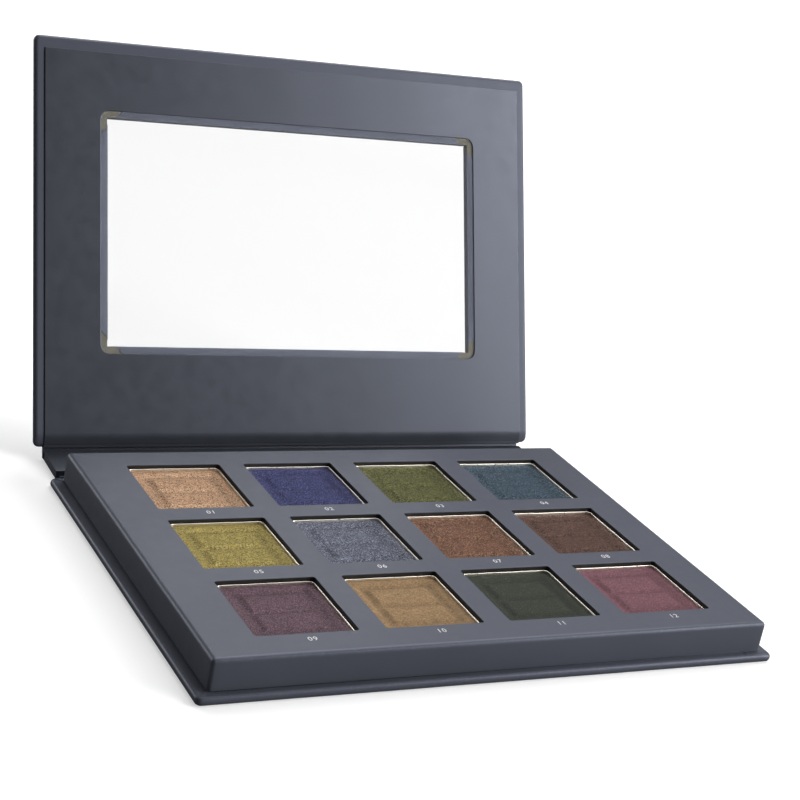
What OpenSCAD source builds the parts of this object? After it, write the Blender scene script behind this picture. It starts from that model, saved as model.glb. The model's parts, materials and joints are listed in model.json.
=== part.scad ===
// Eyeshadow palette of wrapped greyboard: a base cover with a raised pan tray, a spine and a
// see-through lid that fold about two paper hinges.
//
// +X runs to the right, +Y to the hinge and +Z up. The origin is the middle of the base
// cover's underside. Each cover is drawn in its own frame: X across, Y away from its fold
// line (or from the front edge of the base cover) and Z from the outer face to the inner.

/* [Covers] */
// Width of the base cover and of the lid
cover_w = 156; // [153:0.5:170]
// Depth of the base cover and of the lid, from front edge to hinge edge
cover_d = 112; // [110:0.5:124]
// Thickness of a cover, wrap paper included
cover_t = 2.2; // [1.8:0.1:2.6]
// Thickness of the wrap paper
paper_t = 0.15; // [0.1:0.05:0.2]
// Thickness of the liner card on the inner faces
liner_t = 0.3; // [0.2:0.05:0.4]
// Radius of the covers' corners
cover_r = 1.6; // [0.5:0.1:4]
// Width of the wrap paper turned in over each board's edge
turn_in = 8; // [5:0.5:9]

/* [Hinge] */
// Gap from a cover's edge to the fold line beside it
hinge_gap = 3; // [2.9:0.1:4]
// Tilt of the spine above the table at rest, 0 is flat and 90 is closed
spine_tilt = 2; // [0:1:90]
// Tilt of the lid above the table at rest, 0 is flat and 180 is closed
lid_tilt = 66; // [60:1:90]

/* [Tray] */
// Width of the raised tray
tray_w = 150; // [148:0.5:152]
// Depth of the raised tray
tray_d = 108; // [106:0.5:109]
// Height of the tray's top face above the base cover's wrap
tray_h = 8.2; // [8:0.1:12]
// Radius of the tray's upright corners
tray_r = 1; // [0.5:0.1:2]
// Thickness of the greyboard of the tray's walls and of its window card
tray_board = 1.6; // [1.2:0.1:1.8]
// Thickness of the tray's floor card
floor_t = 2.25; // [1.5:0.05:2.5]

/* [Pans] */
// Side of each square window in the tray
window = 26; // [25.8:0.1:27]
// Spacing of the windows from left to right
pitch_x = 33; // [32:0.1:34]
// Spacing of the windows from front to back
pitch_y = 32.2; // [31.5:0.1:33]
// Shift of the whole set of windows to the right of the tray's middle
window_shift = 0.9; // [-1.5:0.1:1.5]
// Side of a tin pan
pan_w = 25.6; // [24:0.1:25.7]
// Height of a tin pan
pan_h = 4.2; // [3:0.1:4.4]
// Thickness of the tinplate
tin_t = 0.3; // [0.2:0.05:0.4]
// Radius of a pan's corners
pan_r = 1.4; // [0.8:0.1:2]
// Depth of the powder's face below the pan's rim
powder_drop = 0.5; // [0.3:0.05:0.8]

/* [Lid window] */
// Width of the lid's window
view_w = 114.4; // [100:0.2:116]
// Depth of the lid's window
view_d = 63; // [55:0.5:66]
// Border from the hinge edge of the lid to its window
view_border = 27.4; // [25:0.2:32]
// Margin by which the liner stays clear of the window
view_margin = 2.1; // [1.5:0.1:3]
// Overlap of the clear film beyond the window
film_lap = 5; // [3.5:0.5:7]

/* [Magnets] */
// Diameter of the closing magnets
magnet_d = 5; // [4:0.5:6]
// Thickness of the closing magnets
magnet_t = 1.4; // [1:0.1:1.6]
// Distance of each magnet from the middle
magnet_x = 49.5; // [40:0.5:55]

/* [Hidden] */
$fn = 48;
columns = 4;
rows = 3;
pans = columns * rows;
board_t = cover_t - 2 * paper_t;
inner_t = cover_t + liner_t;
// The liner of the hinge and the lid is a little wider than the tray, the base cover's a little
// narrower, and both stop short of their cover's front edge
liner_w = tray_w + 0.4;
liner_edge = 3.4;
base_liner_w = tray_w - 0.6;
base_liner_edge = 2.3;
// The fold lines lie in the wrap paper, this far inside the outer faces
fold_h = 0.1;
// Half the bare paper left at a fold line for it to bend
fold_bare = 0.4;
closing_gap = 0.25;
tray_top = cover_t + tray_h;
closed_t = tray_top + closing_gap + inner_t;
spine_d = closed_t - 2 * fold_h;
spine_w = tray_w;
spine_board_d = spine_d - 2 * (fold_bare + liner_t);
fold_a_y = cover_d / 2 + hinge_gap;
fold_b_y = fold_a_y + spine_d * cos(spine_tilt);
fold_b_z = fold_h + spine_d * sin(spine_tilt);
card_z = tray_top - paper_t - tray_board;
floor_z = inner_t + paper_t;
floor_top = floor_z + floor_t;
pad_t = 0.3;
pad_d = 18;
pan_z = floor_top + pad_t;
powder_z = pan_z + pan_h - powder_drop;
magnet_edge = 5.2;
magnet_y = -tray_d / 2 + magnet_edge;
lid_magnet_y = hinge_gap + cover_d / 2 - magnet_y;
// Corners of cut boards, of the windows, of turned-in paper and film, and of the liner's window
board_r = 0.2;
window_r = 0.4;
sheet_r = 0.5;
liner_r = 2.6;
// How far a cutting shape reaches past what it cuts
past = 1;

// Pressed pattern of a powder: a border round a sunk field with two bars and a groove between
powder_w = pan_w - 2 * tin_t;
powder_h = powder_z - pan_z - tin_t;
field_w = powder_w - 5;
field_r = 0.8;
relief = 0.3;
groove = 1.4;
bar_w = field_w - 4;
bar_d = (field_w - 6) / 2;

function two(i) = i < 10 ? str("0", i) : str(i);
function pan_name(i) = str("pan_", two(i));
function powder_name(i) = str("powder_", two(i));
// Pans are numbered from the back row's left end to the front row's right end
function pan_x(i) = ((i - 1) % columns - (columns - 1) / 2) * pitch_x + window_shift;
function pan_y(i) = ((rows - 1) / 2 - floor((i - 1) / columns)) * pitch_y;

PAN_NODES = [for (i = [1:pans]) pan_name(i)];
POWDER_NODES = [for (i = [1:pans]) powder_name(i)];

slate = [0.30, 0.32, 0.37];
greyboard = [0.62, 0.58, 0.52];
black_card = [0.07, 0.06, 0.06];
tin = [0.80, 0.79, 0.76];
steel = [0.62, 0.63, 0.65];
POWDER_COLOURS = [
    [0.66, 0.49, 0.43], [0.16, 0.17, 0.36], [0.33, 0.36, 0.16], [0.16, 0.27, 0.31],
    [0.48, 0.43, 0.17], [0.27, 0.29, 0.34], [0.42, 0.25, 0.19], [0.22, 0.15, 0.14],
    [0.28, 0.18, 0.23], [0.65, 0.49, 0.34], [0.13, 0.15, 0.11], [0.47, 0.20, 0.26]
];

// --- Shapes that several pieces share ---

// A rectangle with round corners, centred in x and running from y = 0
module plate(w, d, t, r) {
    linear_extrude(t) {
        translate([-w / 2 + r, 0]) square([w - 2 * r, d]);
        translate([-w / 2, r]) square([w, d - 2 * r]);
        for (x = [-1, 1], y = [r, d - r]) translate([x * (w / 2 - r), y]) circle(r);
    }
}

// The same rectangle, centred both ways
module centred_plate(w, d, t, r) {
    translate([0, -d / 2, 0]) plate(w, d, t, r);
}

module block(w, d, t) {
    translate([-w / 2, 0, 0]) cube([w, d, t]);
}

// Places children at each pan
module at_pans() {
    for (i = [1:pans]) translate([pan_x(i), pan_y(i), 0]) children();
}

// Places children at the two magnets, whose middles are at this y
module at_magnets(y) {
    for (x = [-magnet_x, magnet_x]) translate([x, y, 0]) children();
}

// Frames of the three covers
module base_frame() {
    translate([0, -cover_d / 2, 0]) children();
}

module spine_frame() {
    translate([0, fold_a_y, fold_h]) rotate([spine_tilt, 0, 0]) translate([0, 0, -fold_h]) children();
}

module lid_frame() {
    translate([0, fold_b_y, fold_b_z]) rotate([lid_tilt, 0, 0]) translate([0, 0, -fold_h]) children();
}

// Greyboard of a cover, inside its wrap
module cover_board() {
    translate([0, paper_t, paper_t])
        plate(cover_w - 2 * paper_t, cover_d - 2 * paper_t, board_t, cover_r - paper_t);
}

// Wrap of a cover: outer face, edges and the turned-in strip on the inner face
module cover_wrap() {
    difference() {
        plate(cover_w, cover_d, cover_t, cover_r);
        cover_board();
        translate([0, turn_in, paper_t])
            block(cover_w - 2 * turn_in, cover_d - 2 * turn_in, cover_t);
    }
}

// Liner card that steps down off a board's edge at y = 0 and runs on to the fold line
module liner_step() {
    translate([0, -liner_t, paper_t]) block(liner_w, liner_t, inner_t - paper_t);
    translate([0, fold_bare - hinge_gap, paper_t])
        block(liner_w, hinge_gap - fold_bare - liner_t, liner_t);
}

// Wrap paper that runs on from a board's edge at y = 0 to the fold line
module wrap_tongue() {
    translate([0, fold_bare - hinge_gap, 0]) block(spine_w, hinge_gap - fold_bare, paper_t);
}

// --- Base cover ---

module base_board() {
    color(greyboard) base_frame() cover_board();
}

module base_wrap() {
    color(slate) base_frame() {
        cover_wrap();
        translate([0, cover_d, 0]) mirror([0, 1, 0]) wrap_tongue();
    }
}

module base_liner() {
    color(slate) base_frame() {
        translate([0, base_liner_edge, cover_t])
            block(base_liner_w, cover_d - base_liner_edge, liner_t);
        translate([0, turn_in, cover_t - paper_t])
            block(cover_w - 2 * turn_in, cover_d - 2 * turn_in, paper_t);
        translate([0, cover_d, 0]) mirror([0, 1, 0]) liner_step();
    }
}

// --- Spine ---

module spine_board() {
    color(greyboard) spine_frame() translate([0, fold_bare + liner_t, paper_t])
        block(spine_w - 2 * paper_t, spine_board_d, board_t);
}

module spine_wrap() {
    color(slate) spine_frame() {
        translate([0, fold_bare, 0]) block(spine_w, spine_d - 2 * fold_bare, paper_t);
        for (side = [-1, 1]) translate([side * (spine_w - paper_t) / 2, fold_bare + liner_t, 0])
            block(paper_t, spine_board_d, cover_t);
        for (side = [-1, 1])
            translate([side * (spine_w - turn_in) / 2, fold_bare + liner_t, cover_t - paper_t])
                block(turn_in, spine_board_d, paper_t);
    }
}

module spine_liner() {
    color(slate) spine_frame() {
        translate([0, fold_bare, cover_t])
            block(liner_w, spine_d - 2 * fold_bare, liner_t);
        translate([0, fold_bare + liner_t, cover_t - paper_t])
            block(spine_w - 2 * turn_in, spine_board_d, paper_t);
        for (y = [fold_bare, spine_d - fold_bare - liner_t]) translate([0, y, paper_t])
            block(liner_w, liner_t, cover_t - paper_t);
    }
}

// --- Lid ---

// The window and whatever is grown or shrunk from it
module view_plate(grow, t, r) {
    translate([0, view_border - grow, 0]) plate(view_w + 2 * grow, view_d + 2 * grow, t, r);
}

module view_hole(grow, r = board_r) {
    translate([0, 0, -past]) view_plate(grow, inner_t + 2 * past, r);
}

module lid_board() {
    color(greyboard) lid_frame() translate([0, hinge_gap, 0]) difference() {
        cover_board();
        view_hole(paper_t);
        at_magnets(lid_magnet_y - hinge_gap) translate([0, 0, cover_t - paper_t - magnet_t])
            cylinder(h = magnet_t + past, d = magnet_d);
    }
}

module lid_wrap() {
    // Where the paper is mitred at the window's corners, the greyboard is left bare
    mitre = 3;
    color(slate) lid_frame() translate([0, hinge_gap, 0]) {
        difference() {
            union() {
                cover_wrap();
                difference() {
                    view_plate(turn_in, cover_t, sheet_r);
                    translate([0, 0, paper_t]) block(cover_w, cover_d, board_t);
                }
                view_plate(paper_t, cover_t, board_r);
            }
            view_hole(0);
            for (x = [-1, 1], y = [0, 1])
                translate([x * view_w / 2, view_border + y * view_d, cover_t])
                    rotate([0, 0, 45]) cube([mitre, mitre, 2 * paper_t], center = true);
        }
        wrap_tongue();
    }
}

module lid_liner() {
    color(slate) lid_frame() translate([0, hinge_gap, 0]) {
        difference() {
            union() {
                translate([0, 0, cover_t]) block(liner_w, cover_d - liner_edge, liner_t);
                translate([0, turn_in, cover_t - paper_t])
                    block(cover_w - 2 * turn_in, cover_d - 2 * turn_in, paper_t);
            }
            translate([0, 0, cover_t - 2 * paper_t]) view_plate(turn_in, 2 * paper_t, sheet_r);
            translate([0, 0, cover_t - paper_t]) view_plate(film_lap, 2 * paper_t, sheet_r);
            view_hole(view_margin, liner_r);
        }
        liner_step();
    }
}

module window_film() {
    color([0.85, 0.9, 0.95, 0.3]) lid_frame() translate([0, hinge_gap, cover_t])
        view_plate(film_lap, paper_t, sheet_r);
}

module lid_magnets() {
    color(steel) lid_frame() at_magnets(lid_magnet_y)
        translate([0, 0, cover_t - paper_t - magnet_t]) cylinder(h = magnet_t, d = magnet_d);
}

// --- Tray ---

module tray_floor() {
    color(greyboard) {
        translate([0, 0, floor_z]) centred_plate(
            tray_w - 2 * (tray_board + paper_t), tray_d - 2 * (tray_board + paper_t), floor_t,
            board_r);
        translate([0, 0, inner_t])
            centred_plate(tray_w - 2 * turn_in, tray_d - 2 * turn_in, paper_t, board_r);
    }
}

module tray_walls() {
    color(greyboard) translate([0, 0, floor_z]) difference() {
        centred_plate(tray_w - 2 * paper_t, tray_d - 2 * paper_t, card_z - floor_z, tray_r - paper_t);
        translate([0, 0, -past]) centred_plate(
            tray_w - 2 * (tray_board + paper_t), tray_d - 2 * (tray_board + paper_t),
            tray_h + past, board_r);
    }
}

module pan_nest() {
    color(black_card) difference() {
        translate([0, 0, floor_top]) centred_plate(
            tray_w - 2 * (tray_board + paper_t), tray_d - 2 * (tray_board + paper_t),
            card_z - floor_top, board_r);
        at_pans() centred_plate(window, window, tray_top, window_r);
        at_magnets(magnet_y) translate([0, 0, card_z - magnet_t])
            cylinder(h = magnet_t + past, d = magnet_d);
    }
}

module window_card() {
    color(black_card) difference() {
        translate([0, 0, card_z])
            centred_plate(tray_w - 2 * paper_t, tray_d - 2 * paper_t, tray_board, tray_r - paper_t);
        at_pans() centred_plate(window, window, tray_top, window_r);
    }
}

module tray_wrap() {
    color(slate) difference() {
        translate([0, 0, inner_t]) centred_plate(tray_w, tray_d, tray_top - inner_t, tray_r);
        translate([0, 0, floor_z]) centred_plate(
            tray_w - 2 * paper_t, tray_d - 2 * paper_t, tray_top - paper_t - floor_z,
            tray_r - paper_t);
        centred_plate(tray_w - 2 * turn_in, tray_d - 2 * turn_in, tray_h / 2, board_r);
        at_pans() centred_plate(window, window, tray_top + past, window_r);
    }
}

module tray_magnets() {
    color(steel) at_magnets(magnet_y) translate([0, 0, card_z - magnet_t])
        cylinder(h = magnet_t, d = magnet_d);
}

module pan_adhesive_pads() {
    color([0.9, 0.88, 0.8]) at_pans() translate([0, 0, floor_top]) cylinder(h = pad_t, d = pad_d);
}

// --- Pans and powders ---

module pan(i) {
    color(tin) translate([pan_x(i), pan_y(i), pan_z]) difference() {
        centred_plate(pan_w, pan_w, pan_h, pan_r);
        translate([0, 0, tin_t])
            centred_plate(pan_w - 2 * tin_t, pan_w - 2 * tin_t, pan_h, pan_r - tin_t);
    }
}

// Pressed powder: a raised border round a sunk field that holds two broad bars
module powder(i) {
    color(POWDER_COLOURS[i - 1]) translate([pan_x(i), pan_y(i), pan_z + tin_t]) {
        difference() {
            centred_plate(powder_w, powder_w, powder_h, pan_r - tin_t);
            translate([0, 0, powder_h - relief]) centred_plate(field_w, field_w, relief + past, field_r);
        }
        for (y = [-1, 1])
            translate([0, y * (bar_d + groove) / 2, powder_h - relief])
                centred_plate(bar_w, bar_d, relief, field_r);
    }
}

// --- Assembly ---

base_board();
base_wrap();
base_liner();
spine_board();
spine_wrap();
spine_liner();
lid_board();
lid_wrap();
lid_liner();
window_film();
lid_magnets();
tray_floor();
tray_walls();
pan_nest();
window_card();
tray_wrap();
tray_magnets();
pan_adhesive_pads();
for (i = [1:pans]) pan(i);
for (i = [1:pans]) powder(i);
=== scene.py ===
# Eyeshadow palette: twelve pressed powders in tin pans, set in a raised tray on a wrapped board
# cover, with a spine and a see-through lid that fold on two paper hinges.
import json
import math

import bmesh
import bpy
from mathutils import Matrix, Vector, noise


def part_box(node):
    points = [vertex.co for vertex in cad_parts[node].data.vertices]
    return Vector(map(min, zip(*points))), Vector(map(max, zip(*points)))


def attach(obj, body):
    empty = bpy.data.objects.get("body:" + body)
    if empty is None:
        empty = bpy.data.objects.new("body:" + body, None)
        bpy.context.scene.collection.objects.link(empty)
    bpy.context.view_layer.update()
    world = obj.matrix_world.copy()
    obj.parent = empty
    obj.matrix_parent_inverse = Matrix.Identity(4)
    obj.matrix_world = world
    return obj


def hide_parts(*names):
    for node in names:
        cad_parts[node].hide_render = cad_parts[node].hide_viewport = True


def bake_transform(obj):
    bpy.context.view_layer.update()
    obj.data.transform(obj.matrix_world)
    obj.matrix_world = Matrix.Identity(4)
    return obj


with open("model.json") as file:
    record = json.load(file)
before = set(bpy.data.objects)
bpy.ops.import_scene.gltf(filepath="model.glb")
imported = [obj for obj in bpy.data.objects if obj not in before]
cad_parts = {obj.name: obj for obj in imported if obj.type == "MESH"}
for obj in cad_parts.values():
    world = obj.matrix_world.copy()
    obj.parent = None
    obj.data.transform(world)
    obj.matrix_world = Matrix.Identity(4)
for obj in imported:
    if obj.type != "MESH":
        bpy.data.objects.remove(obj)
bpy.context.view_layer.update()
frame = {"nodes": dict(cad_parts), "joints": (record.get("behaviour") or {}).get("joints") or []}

# --- Camera, floor and lamps ---
# The palette stands on a white table under an overhead softbox. One at the front right puts
# the sheen on the lid, a low one lights the front and one behind on the left marks the edges.
# The table and the room look brighter than they shine. Lengths are in metres.
mm = 0.001
scene = bpy.context.scene
scene.view_settings.view_transform = "Standard"

camera_data = bpy.data.cameras.new("camera")
camera_data.lens = 84.6
camera_data.shift_x = 0.0077
camera_data.shift_y = -0.0578
camera_data.clip_start = 0.01
camera = bpy.data.objects.new("camera", camera_data)
camera.matrix_world = (
    Matrix.Translation((-0.23046, -0.37696, 0.20653))
    @ Matrix.Rotation(math.radians(-29.73), 4, "Z")
    @ Matrix.Rotation(math.radians(71.38), 4, "X")
    @ Matrix.Rotation(math.radians(11.25), 4, "Z")
)
scene.collection.objects.link(camera)
scene.camera = camera


def put(tree, kind, inputs=None, **settings):
    """Adds a node, sets its properties, and fills its inputs with values or other sockets."""
    made = tree.nodes.new(kind)
    for name, value in settings.items():
        setattr(made, name, value)
    for key, value in (inputs or {}).items():
        if isinstance(value, bpy.types.NodeSocket):
            tree.links.new(value, made.inputs[key])
        else:
            made.inputs[key].default_value = value
    return made


def rays_that_see(tree):
    """1 for rays that come straight, or through the lid's film, from the camera."""
    path = put(tree, "ShaderNodeLightPath")
    straight = put(tree, "ShaderNodeMath", {0: path.outputs["Is Camera Ray"],
                   1: path.outputs["Is Transmission Ray"]}, operation="MAXIMUM")
    return straight.outputs[0]


def add_softbox(name, place, aim, width, height, watts):
    """A rectangular area lamp turned to face a point."""
    lamp = bpy.data.lights.new(name, "AREA")
    lamp.shape = "RECTANGLE"
    lamp.size = width
    lamp.size_y = height
    lamp.energy = watts
    softbox = bpy.data.objects.new(name, lamp)
    turn = (Vector(aim) - Vector(place)).to_track_quat("-Z", "Y")
    softbox.matrix_world = Matrix.Translation(place) @ turn.to_matrix().to_4x4()
    scene.collection.objects.link(softbox)
    return softbox


add_softbox("overhead_softbox", (0.30, 0.38, 0.80), (0, 0, 0), 0.7, 0.7, 6.1)
add_softbox("right_softbox", (0.84, -0.50, 0.50), (0.05, 0.05, 0.06), 0.55, 0.75, 11.2)
low_front = add_softbox("low_front_softbox", (0.56, -0.75, 0.13), (0, 0.05, 0.04), 0.35, 0.1, 2.2)
low_front.visible_glossy = False
add_softbox("left_edge_softbox", (-0.62, 0.86, 0.36), (0, 0, 0), 0.6, 0.4, 3.2)

room = bpy.data.worlds.new("room")
room.use_nodes = True
room_light = room.node_tree.nodes["Background"]
seen_room = put(room.node_tree, "ShaderNodeMix", {0: rays_that_see(room.node_tree),
                6: (0.08, 0.08, 0.085, 1), 7: (1.05, 1.05, 1.05, 1)}, data_type="RGBA")
room.node_tree.links.new(seen_room.outputs[2], room_light.inputs["Color"])
scene.world = room

table_top = bmesh.new()
bmesh.ops.create_grid(table_top, x_segments=1, y_segments=1, size=3,
                      matrix=Matrix.Translation((0, 0, -0.02 * mm)))
table_mesh = bpy.data.meshes.new("table_top")
table_top.to_mesh(table_mesh)
table_top.free()
table = bpy.data.objects.new("table_top", table_mesh)
scene.collection.objects.link(table)
table_white = bpy.data.materials.new("table_white")
table_white.use_nodes = True
table_tree = table_white.node_tree
table_shader = table_tree.nodes["Principled BSDF"]
seen_white = put(table_tree, "ShaderNodeMix", {0: rays_that_see(table_tree),
                 6: (0.19, 0.19, 0.195, 1), 7: (0.7, 0.7, 0.7, 1)}, data_type="RGBA")
table_tree.links.new(seen_white.outputs[2], table_shader.inputs["Base Color"])
table_shader.inputs["Roughness"].default_value = 0.9
table_shader.inputs["Emission Color"].default_value = (1, 1, 1, 1)
# The table glows more further out, so it stays white where the lamps fall off
table_place = put(table_tree, "ShaderNodeTexCoord").outputs["Object"]
table_spot = put(table_tree, "ShaderNodeVectorMath", {0: table_place},
                 operation="LENGTH").outputs["Value"]
sweep_light = put(table_tree, "ShaderNodeMapRange", {
    "Value": table_spot, "From Min": 0.45, "From Max": 1.2, "To Min": 0.46, "To Max": 1.0})
seen_glow = put(table_tree, "ShaderNodeMath", {
    0: rays_that_see(table_tree), 1: sweep_light.outputs["Result"]}, operation="MULTIPLY")
table_tree.links.new(seen_glow.outputs[0], table_shader.inputs["Emission Strength"])
table_mesh.materials.append(table_white)

# --- Base cover ---
# A sheet of greyboard wrapped in printed slate paper, which is glued round its edges and
# turned in on the inner face. A thin lining sheet covers the board between the turn-ins.
PAPER = 0.15 * mm
LINER = 0.3 * mm
COVER = 2.2 * mm
COVER_CORNER = 1.6 * mm
COVER_BEND = 1.0 * mm
COVER_LIFT = 0.03 * mm
TURN_IN = 8 * mm
SMOOTH_TO = math.radians(32)
SUPPORT = 0.07 * mm
SHARP_CORNER = 0.05 * mm
HAIR = 0.01 * mm
COVER_STEP = 4 * mm
SLATE = (0.072, 0.078, 0.097, 1)
WARP_SEED = 1795042620


def new_group(name, inputs, outputs):
    """A shader node group with its input and output nodes. A socket is (name, kind, value)."""
    tree = bpy.data.node_groups.new(name, "ShaderNodeTree")
    for label, kind, value in inputs:
        socket = tree.interface.new_socket(label, in_out="INPUT", socket_type="NodeSocket" + kind)
        socket.default_value = value
    for label, kind in outputs:
        tree.interface.new_socket(label, in_out="OUTPUT", socket_type="NodeSocket" + kind)
    return tree, tree.nodes.new("NodeGroupInput"), tree.nodes.new("NodeGroupOutput")


def speckle(tree, scale, detail=2.0, roughness=0.5):
    """Noise on the piece's own coordinates."""
    place = put(tree, "ShaderNodeTexCoord").outputs["Object"]
    return put(tree, "ShaderNodeTexNoise", {"Vector": place, "Scale": scale, "Detail": detail,
               "Roughness": roughness}).outputs["Fac"]


def remap(tree, value, low, high, out_low=0.0, out_high=1.0):
    """Carries one range of values over to another."""
    return put(tree, "ShaderNodeMapRange", {"Value": value, "From Min": low, "From Max": high,
               "To Min": out_low, "To Max": out_high}).outputs["Result"]


def multiply(tree, first, second):
    """The product of two values."""
    return put(tree, "ShaderNodeMath", {0: first, 1: second}, operation="MULTIPLY").outputs[0]


def blend_colours(tree, share, first, second, mode="MIX"):
    """A share of the second colour over the first."""
    return put(tree, "ShaderNodeMix", {0: share, 6: first, 7: second}, data_type="RGBA",
               blend_type=mode).outputs[2]


def shade_of(tree, value):
    """A grey as bright as a value."""
    return put(tree, "ShaderNodeCombineColor", {0: value, 1: value, 2: value}).outputs[0]


# Coated paper: faint clouding and fibres, with the white core showing where a fold is rubbed
paper_group, paper_in, paper_out = new_group(
    "coated_paper",
    [("Colour", "Color", SLATE), ("Core", "Color", (0.42, 0.42, 0.44, 1)), ("Wear", "Float", 0.5),
     ("Gloss", "Float", 0.42)],
    [("Colour", "Color"), ("Roughness", "Float"), ("Height", "Float")])
fold_mark = put(paper_group, "ShaderNodeAttribute", attribute_name="edge_wear")
rubbed = multiply(paper_group, fold_mark.outputs["Fac"],
                  remap(paper_group, speckle(paper_group, 900, 4, 0.65), 0.5, 0.72))
clouds = remap(paper_group, speckle(paper_group, 45, 3), 0.3, 0.7, 0.95, 1.05)
fibres = speckle(paper_group, 5200, 3, 0.7)
clouded = blend_colours(paper_group, 1.0, paper_in.outputs["Colour"],
                        shade_of(paper_group, multiply(paper_group, clouds, remap(
                            paper_group, fibres, 0.3, 0.7, 0.965, 1.035))), "MULTIPLY")
paper_group.links.new(
    blend_colours(paper_group, multiply(paper_group, rubbed, paper_in.outputs["Wear"]), clouded,
                  paper_in.outputs["Core"]), paper_out.inputs["Colour"])
sheen = put(paper_group, "ShaderNodeMath", {0: paper_in.outputs["Gloss"], 1: remap(
    paper_group, speckle(paper_group, 260, 4), 0.3, 0.7, -0.03, 0.03)}, operation="ADD")
paper_group.links.new(sheen.outputs[0], paper_out.inputs["Roughness"])
paper_group.links.new(fibres, paper_out.inputs["Height"])


def new_material(name, values):
    """A material and its Principled shader, with plain values set on the shader's sockets."""
    made = bpy.data.materials.new(name)
    made.use_nodes = True
    shader = made.node_tree.nodes["Principled BSDF"]
    for key, value in values.items():
        shader.inputs[key].default_value = value
    return made, made.node_tree, shader


def finish_with(tree, shader, group, values, height=0.0, grain=0.00002):
    """Places a group in a material and joins what it puts out to the shader."""
    used = put(tree, "ShaderNodeGroup", node_tree=group)
    for key, value in values.items():
        used.inputs[key].default_value = value
    for label, socket in (("Colour", "Base Color"), ("Roughness", "Roughness"),
                          ("Metallic", "Metallic"), ("Normal", "Normal")):
        if label in used.outputs:
            tree.links.new(used.outputs[label], shader.inputs[socket])
    if height and "Height" in used.outputs:
        bump = put(tree, "ShaderNodeBump", {"Height": used.outputs["Height"], "Strength": height,
                   "Distance": grain})
        if "Normal" in used.outputs:
            tree.links.new(used.outputs["Normal"], bump.inputs["Normal"])
        tree.links.new(bump.outputs["Normal"], shader.inputs["Normal"])


slate_paper, paper_tree, paper_shader = new_material("slate_paper", {
    "Specular IOR Level": 0.5, "Specular Tint": (0.72, 0.78, 1, 1)})
finish_with(paper_tree, paper_shader, paper_group, {"Colour": SLATE, "Wear": 0.07, "Gloss": 0.42},
            height=0.25)

# Greyboard: recycled fibres in olive, grey and brown
fibre_group, fibre_in, fibre_out = new_group(
    "board_fibre",
    [("Colour", "Color", (0.3, 0.28, 0.22, 1)), ("Fleck", "Color", (0.1, 0.09, 0.07, 1))],
    [("Colour", "Color"), ("Roughness", "Float"), ("Height", "Float")])
flecks = remap(fibre_group, speckle(fibre_group, 2600, 5, 0.7), 0.5, 0.68)
fibre_group.links.new(blend_colours(fibre_group, flecks, fibre_in.outputs["Colour"],
                                    fibre_in.outputs["Fleck"]), fibre_out.inputs["Colour"])
fibre_group.links.new(remap(fibre_group, flecks, 0, 1, 0.8, 0.95), fibre_out.inputs["Roughness"])
fibre_group.links.new(speckle(fibre_group, 3800, 4, 0.7), fibre_out.inputs["Height"])
greyboard, board_tree, board_shader = new_material("greyboard", {"Specular IOR Level": 0.3})
finish_with(board_tree, board_shader, fibre_group,
            {"Colour": (0.115, 0.108, 0.085, 1), "Fleck": (0.05, 0.045, 0.035, 1)}, height=0.6)


def outline(bm, box, corner, height, steps=5):
    """The edges of a flat rectangle (x0, y0, x1, y1) with round corners."""
    x0, y0, x1, y1 = box
    middle = Matrix.Translation(((x0 + x1) / 2, (y0 + y1) / 2, height))
    spread = Matrix.Diagonal(((x1 - x0) / 2, (y1 - y0) / 2, 1, 1))
    flat = bmesh.ops.create_grid(bm, x_segments=1, y_segments=1, size=1, matrix=middle @ spread)
    cut = bmesh.ops.bevel(bm, geom=flat["verts"], offset=corner, offset_type="OFFSET",
                          affect="VERTICES", segments=steps, profile=0.5, material=-1)
    sheet = cut["verts"][0].link_faces[0]
    edges = list(sheet.edges)
    bmesh.ops.delete(bm, geom=[sheet], context="FACES_ONLY")
    return edges


def loops_of(bm, box, corner, profile):
    """Outlines at each (inset, height, rubbed) of a profile. Rubbed ones are marked for wear."""
    mark = bm.verts.layers.float.get("edge_wear") or bm.verts.layers.float.new("edge_wear")
    x0, y0, x1, y1 = box
    made = []
    for inset, height, rubbed_here in profile:
        loop = outline(bm, (x0 + inset, y0 + inset, x1 - inset, y1 - inset),
                       max(corner - inset, SHARP_CORNER), height)
        for edge in loop:
            for vert in edge.verts:
                vert[mark] = rubbed_here
        made.append(loop)
    return made


def skin(bm, loops, close=False):
    """Faces between each loop and the next, and from the last to the first if closed. Level
    loops are held a little apart meanwhile, so that the bridge knows which way they run."""
    for first, second in zip(loops, loops[1:] + loops[:1] if close else loops[1:]):
        level = abs(first[0].verts[0].co.z - second[0].verts[0].co.z) < 1e-7
        lift = Vector((0, 0, 0.5 * mm if level else 0))
        lifted = list({vert for edge in second for vert in edge.verts})
        bmesh.ops.translate(bm, vec=lift, verts=lifted)
        bmesh.ops.bridge_loops(bm, edges=first + second)
        bmesh.ops.translate(bm, vec=-lift, verts=lifted)


def cap(bm, loop):
    """One face inside a loop of edges."""
    bmesh.ops.contextual_create(bm, geom=loop)


def solid(bm, loops):
    """A closed solid through a stack of outlines."""
    skin(bm, loops)
    cap(bm, loops[0])
    cap(bm, loops[-1])


def pull_face(bm, face, by):
    """Extrudes a face by a vector into a closed solid."""
    pulled = bmesh.ops.extrude_face_region(bm, geom=[face], use_keep_orig=True)["geom"]
    far_end = [item for item in pulled if isinstance(item, bmesh.types.BMVert)]
    bmesh.ops.translate(bm, vec=by, verts=far_end)


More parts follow.
